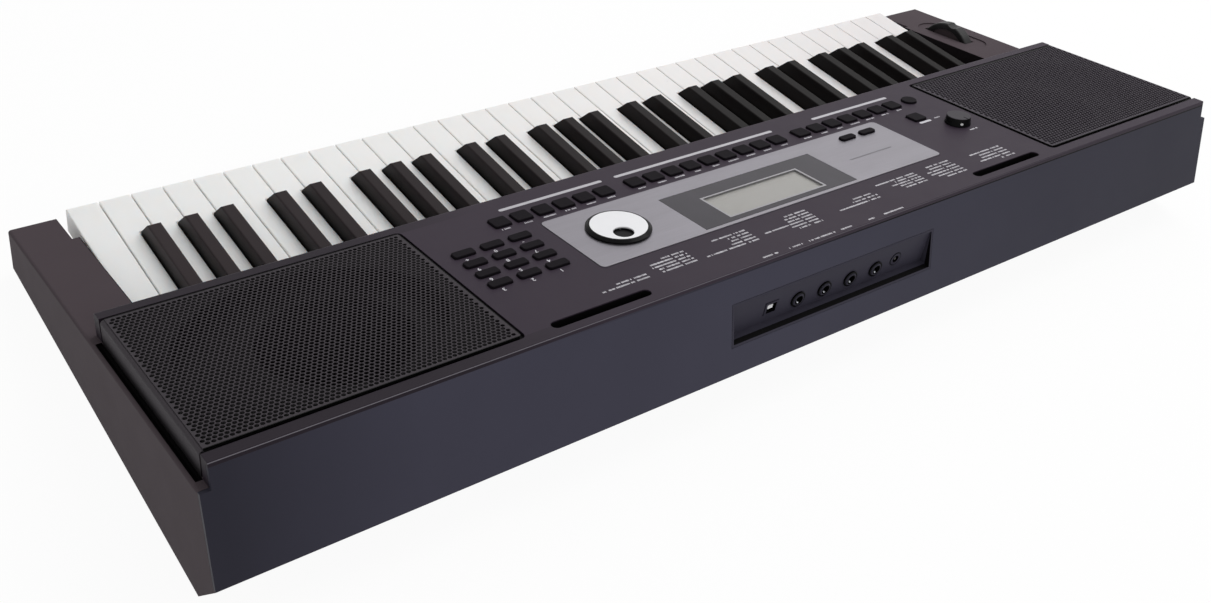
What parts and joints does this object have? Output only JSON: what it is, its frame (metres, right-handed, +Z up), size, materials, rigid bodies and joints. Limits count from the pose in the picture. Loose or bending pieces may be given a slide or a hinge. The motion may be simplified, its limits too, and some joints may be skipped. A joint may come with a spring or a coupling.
{
  "type": "arranger keyboard",
  "caption": "Flat electronic keyboard with a sloping control deck, end speakers, display, jog dial, pitch wheel and hinged piano keys.",
  "frame": {"origin": "on the floor under the middle of the instrument's outline, at the soles of the feet", "axes": "+X to the player's right, +Y to the rear with the sockets, +Z up"},
  "size_m": [0.944, 0.352, 0.1122],
  "materials": {
    "case_grey": "warm dark grey, fine texture",
    "rear_grey": "cool dark grey, fine texture",
    "base_grey": "dark grey, fine texture",
    "jack_grey": "dark grey, fine texture",
    "grille_grey": "dark grey, fine texture",
    "silver": "silver lacquer",
    "window": "smoked clear window",
    "lcd": "grey-green liquid crystal",
    "board_green": "green lacquer",
    "button_black": "satin black",
    "knob_black": "satin black",
    "dial_black": "gloss black",
    "dial_white": "white",
    "key_white": "semi-gloss white",
    "key_black": "satin black",
    "frame_black": "black",
    "felt": "red felt",
    "rubber": "matt black",
    "contact_rubber": "grey silicone",
    "steel": "bright",
    "basket": "black",
    "cone": "pressed fibre",
    "magnet": "dull grey",
    "aluminium": "plain",
    "socket_black": "black",
    "socket_steel": "bright",
    "wheel_black": "satin black"
  },
  "bodies": {
    "case": {"upper_case": "case_grey", "left_end_cheek": "case_grey", "right_end_cheek": "case_grey", "lower_case": "base_grey", "rear_panel": "rear_grey", "jack_panel": "jack_grey", "left_grille": "grille_grey", "right_grille": "grille_grey", "speaker_baskets": "basket", "speaker_cones": "cone", "speaker_magnets": "magnet", "display_panel": "silver", "display_window": "window", "lcd_module": "lcd", "control_board": "board_green", "volume_pot": "socket_steel", "dial_encoder": "socket_steel", "key_frame": "frame_black", "key_felts": "felt", "contact_board": "board_green", "contact_rubbers": "contact_rubber", "phone_jacks": "socket_black", "usb_socket": "socket_steel", "dc_socket": "socket_black", "jack_board": "board_green", "main_board": "board_green", "amplifier_heat_sink": "aluminium", "case_screws": "steel", "inner_screws": "steel", "rubber_feet": "rubber", "wheel_bracket": "frame_black", "wheel_spring": "steel"},
    "octave_1_white_keys_ceg_b": {"octave_1_white_keys_ceg_b": "key_white"},
    "octave_1_white_keys_dfa": {"octave_1_white_keys_dfa": "key_white"},
    "octave_1_black_keys": {"octave_1_black_keys": "key_black"},
    "octave_2_white_keys_ceg_b": {"octave_2_white_keys_ceg_b": "key_white"},
    "octave_2_white_keys_dfa": {"octave_2_white_keys_dfa": "key_white"},
    "octave_2_black_keys": {"octave_2_black_keys": "key_black"},
    "octave_3_white_keys_ceg_b": {"octave_3_white_keys_ceg_b": "key_white"},
    "octave_3_white_keys_dfa": {"octave_3_white_keys_dfa": "key_white"},
    "octave_3_black_keys": {"octave_3_black_keys": "key_black"},
    "octave_4_white_keys_ceg_b": {"octave_4_white_keys_ceg_b": "key_white"},
    "octave_4_white_keys_dfa": {"octave_4_white_keys_dfa": "key_white"},
    "octave_4_black_keys": {"octave_4_black_keys": "key_black"},
    "octave_5_white_keys_ceg_b": {"octave_5_white_keys_ceg_b": "key_white"},
    "octave_5_white_keys_dfa": {"octave_5_white_keys_dfa": "key_white"},
    "octave_5_black_keys": {"octave_5_black_keys": "key_black"},
    "top_white_key": {"top_white_key": "key_white"},
    "button_row_left": {"button_row_left": "button_black"},
    "button_row_middle": {"button_row_middle": "button_black"},
    "button_row_right": {"button_row_right": "button_black"},
    "number_pad": {"number_pad": "button_black"},
    "display_buttons": {"display_buttons": "button_black"},
    "power_button": {"power_button": "button_black"},
    "start_button": {"start_button": "button_black"},
    "volume_knob": {"volume_knob": "knob_black"},
    "jog_dial": {"jog_dial": "dial_black", "dial_face": "dial_white"},
    "pitch_wheel": {"pitch_wheel": "wheel_black"}
  },
  "joints": [
    {"name": "octave_1_white_keys_ceg_b_press", "type": "hinge", "parent": "case", "child": "octave_1_white_keys_ceg_b", "pos_m": [0, 0.038, 0.0301], "axis": [1, 0, 0], "range_deg": [0, 2.54], "stiffness_Nm_per_rad": 0.6, "springref_deg": -34.38},
    {"name": "octave_1_white_keys_dfa_press", "type": "hinge", "parent": "case", "child": "octave_1_white_keys_dfa", "pos_m": [0, 0.038, 0.0337], "axis": [1, 0, 0], "range_deg": [0, 2.54], "stiffness_Nm_per_rad": 0.6, "springref_deg": -34.38},
    {"name": "octave_1_black_keys_press", "type": "hinge", "parent": "case", "child": "octave_1_black_keys", "pos_m": [0, 0.038, 0.0373], "axis": [1, 0, 0], "range_deg": [0, 2.54], "stiffness_Nm_per_rad": 0.6, "springref_deg": -34.38},
    {"name": "octave_2_white_keys_ceg_b_press", "type": "hinge", "parent": "case", "child": "octave_2_white_keys_ceg_b", "pos_m": [0, 0.038, 0.0301], "axis": [1, 0, 0], "range_deg": [0, 2.54], "stiffness_Nm_per_rad": 0.6, "springref_deg": -34.38},
    {"name": "octave_2_white_keys_dfa_press", "type": "hinge", "parent": "case", "child": "octave_2_white_keys_dfa", "pos_m": [0, 0.038, 0.0337], "axis": [1, 0, 0], "range_deg": [0, 2.54], "stiffness_Nm_per_rad": 0.6, "springref_deg": -34.38},
    {"name": "octave_2_black_keys_press", "type": "hinge", "parent": "case", "child": "octave_2_black_keys", "pos_m": [0, 0.038, 0.0373], "axis": [1, 0, 0], "range_deg": [0, 2.54], "stiffness_Nm_per_rad": 0.6, "springref_deg": -34.38},
    {"name": "octave_3_white_keys_ceg_b_press", "type": "hinge", "parent": "case", "child": "octave_3_white_keys_ceg_b", "pos_m": [0, 0.038, 0.0301], "axis": [1, 0, 0], "range_deg": [0, 2.54], "stiffness_Nm_per_rad": 0.6, "springref_deg": -34.38},
    {"name": "octave_3_white_keys_dfa_press", "type": "hinge", "parent": "case", "child": "octave_3_white_keys_dfa", "pos_m": [0, 0.038, 0.0337], "axis": [1, 0, 0], "range_deg": [0, 2.54], "stiffness_Nm_per_rad": 0.6, "springref_deg": -34.38},
    {"name": "octave_3_black_keys_press", "type": "hinge", "parent": "case", "child": "octave_3_black_keys", "pos_m": [0, 0.038, 0.0373], "axis": [1, 0, 0], "range_deg": [0, 2.54], "stiffness_Nm_per_rad": 0.6, "springref_deg": -34.38},
    {"name": "octave_4_white_keys_ceg_b_press", "type": "hinge", "parent": "case", "child": "octave_4_white_keys_ceg_b", "pos_m": [0, 0.038, 0.0301], "axis": [1, 0, 0], "range_deg": [0, 2.54], "stiffness_Nm_per_rad": 0.6, "springref_deg": -34.38},
    {"name": "octave_4_white_keys_dfa_press", "type": "hinge", "parent": "case", "child": "octave_4_white_keys_dfa", "pos_m": [0, 0.038, 0.0337], "axis": [1, 0, 0], "range_deg": [0, 2.54], "stiffness_Nm_per_rad": 0.6, "springref_deg": -34.38},
    {"name": "octave_4_black_keys_press", "type": "hinge", "parent": "case", "child": "octave_4_black_keys", "pos_m": [0, 0.038, 0.0373], "axis": [1, 0, 0], "range_deg": [0, 2.54], "stiffness_Nm_per_rad": 0.6, "springref_deg": -34.38},
    {"name": "octave_5_white_keys_ceg_b_press", "type": "hinge", "parent": "case", "child": "octave_5_white_keys_ceg_b", "pos_m": [0, 0.038, 0.0301], "axis": [1, 0, 0], "range_deg": [0, 2.54], "stiffness_Nm_per_rad": 0.6, "springref_deg": -34.38},
    {"name": "octave_5_white_keys_dfa_press", "type": "hinge", "parent": "case", "child": "octave_5_white_keys_dfa", "pos_m": [0, 0.038, 0.0337], "axis": [1, 0, 0], "range_deg": [0, 2.54], "stiffness_Nm_per_rad": 0.6, "springref_deg": -34.38},
    {"name": "octave_5_black_keys_press", "type": "hinge", "parent": "case", "child": "octave_5_black_keys", "pos_m": [0, 0.038, 0.0373], "axis": [1, 0, 0], "range_deg": [0, 2.54], "stiffness_Nm_per_rad": 0.6, "springref_deg": -34.38},
    {"name": "top_white_key_press", "type": "hinge", "parent": "case", "child": "top_white_key", "pos_m": [0, 0.038, 0.0301], "axis": [1, 0, 0], "range_deg": [0, 2.54], "stiffness_Nm_per_rad": 0.6, "springref_deg": -34.38},
    {"name": "button_row_left_press", "type": "slide", "parent": "case", "child": "button_row_left", "axis": [0, 0.1702, -0.9854], "range_m": [0, 0.001], "stiffness_N_per_m": 400, "springref_m": -0.002},
    {"name": "button_row_middle_press", "type": "slide", "parent": "case", "child": "button_row_middle", "axis": [0, 0.1702, -0.9854], "range_m": [0, 0.001], "stiffness_N_per_m": 400, "springref_m": -0.002},
    {"name": "button_row_right_press", "type": "slide", "parent": "case", "child": "button_row_right", "axis": [0, 0.1702, -0.9854], "range_m": [0, 0.001], "stiffness_N_per_m": 400, "springref_m": -0.002},
    {"name": "number_pad_press", "type": "slide", "parent": "case", "child": "number_pad", "axis": [0, 0.1702, -0.9854], "range_m": [0, 0.001], "stiffness_N_per_m": 400, "springref_m": -0.002},
    {"name": "display_buttons_press", "type": "slide", "parent": "case", "child": "display_buttons", "axis": [0, 0.1702, -0.9854], "range_m": [0, 0.001], "stiffness_N_per_m": 400, "springref_m": -0.002},
    {"name": "power_button_press", "type": "slide", "parent": "case", "child": "power_button", "axis": [0, 0.1702, -0.9854], "range_m": [0, 0.001], "stiffness_N_per_m": 400, "springref_m": -0.002},
    {"name": "start_button_press", "type": "slide", "parent": "case", "child": "start_button", "axis": [0, 0.1702, -0.9854], "range_m": [0, 0.001], "stiffness_N_per_m": 400, "springref_m": -0.002},
    {"name": "volume_turn", "type": "hinge", "parent": "case", "child": "volume_knob", "pos_m": [-0.232, 0.06915, 0.09774], "axis": [0, -0.1702, 0.9854], "range_deg": [-145, 145]},
    {"name": "dial_turn", "type": "hinge", "parent": "case", "child": "jog_dial", "pos_m": [0.1278, 0.0662, 0.09723], "axis": [0, -0.1702, 0.9854], "continuous": true},
    {"name": "pitch_bend", "type": "hinge", "parent": "case", "child": "pitch_wheel", "pos_m": [-0.441, -0.102, 0.03148], "axis": [1, 0, 0], "range_deg": [-30, 30], "stiffness_Nm_per_rad": 0.15}
  ]
}
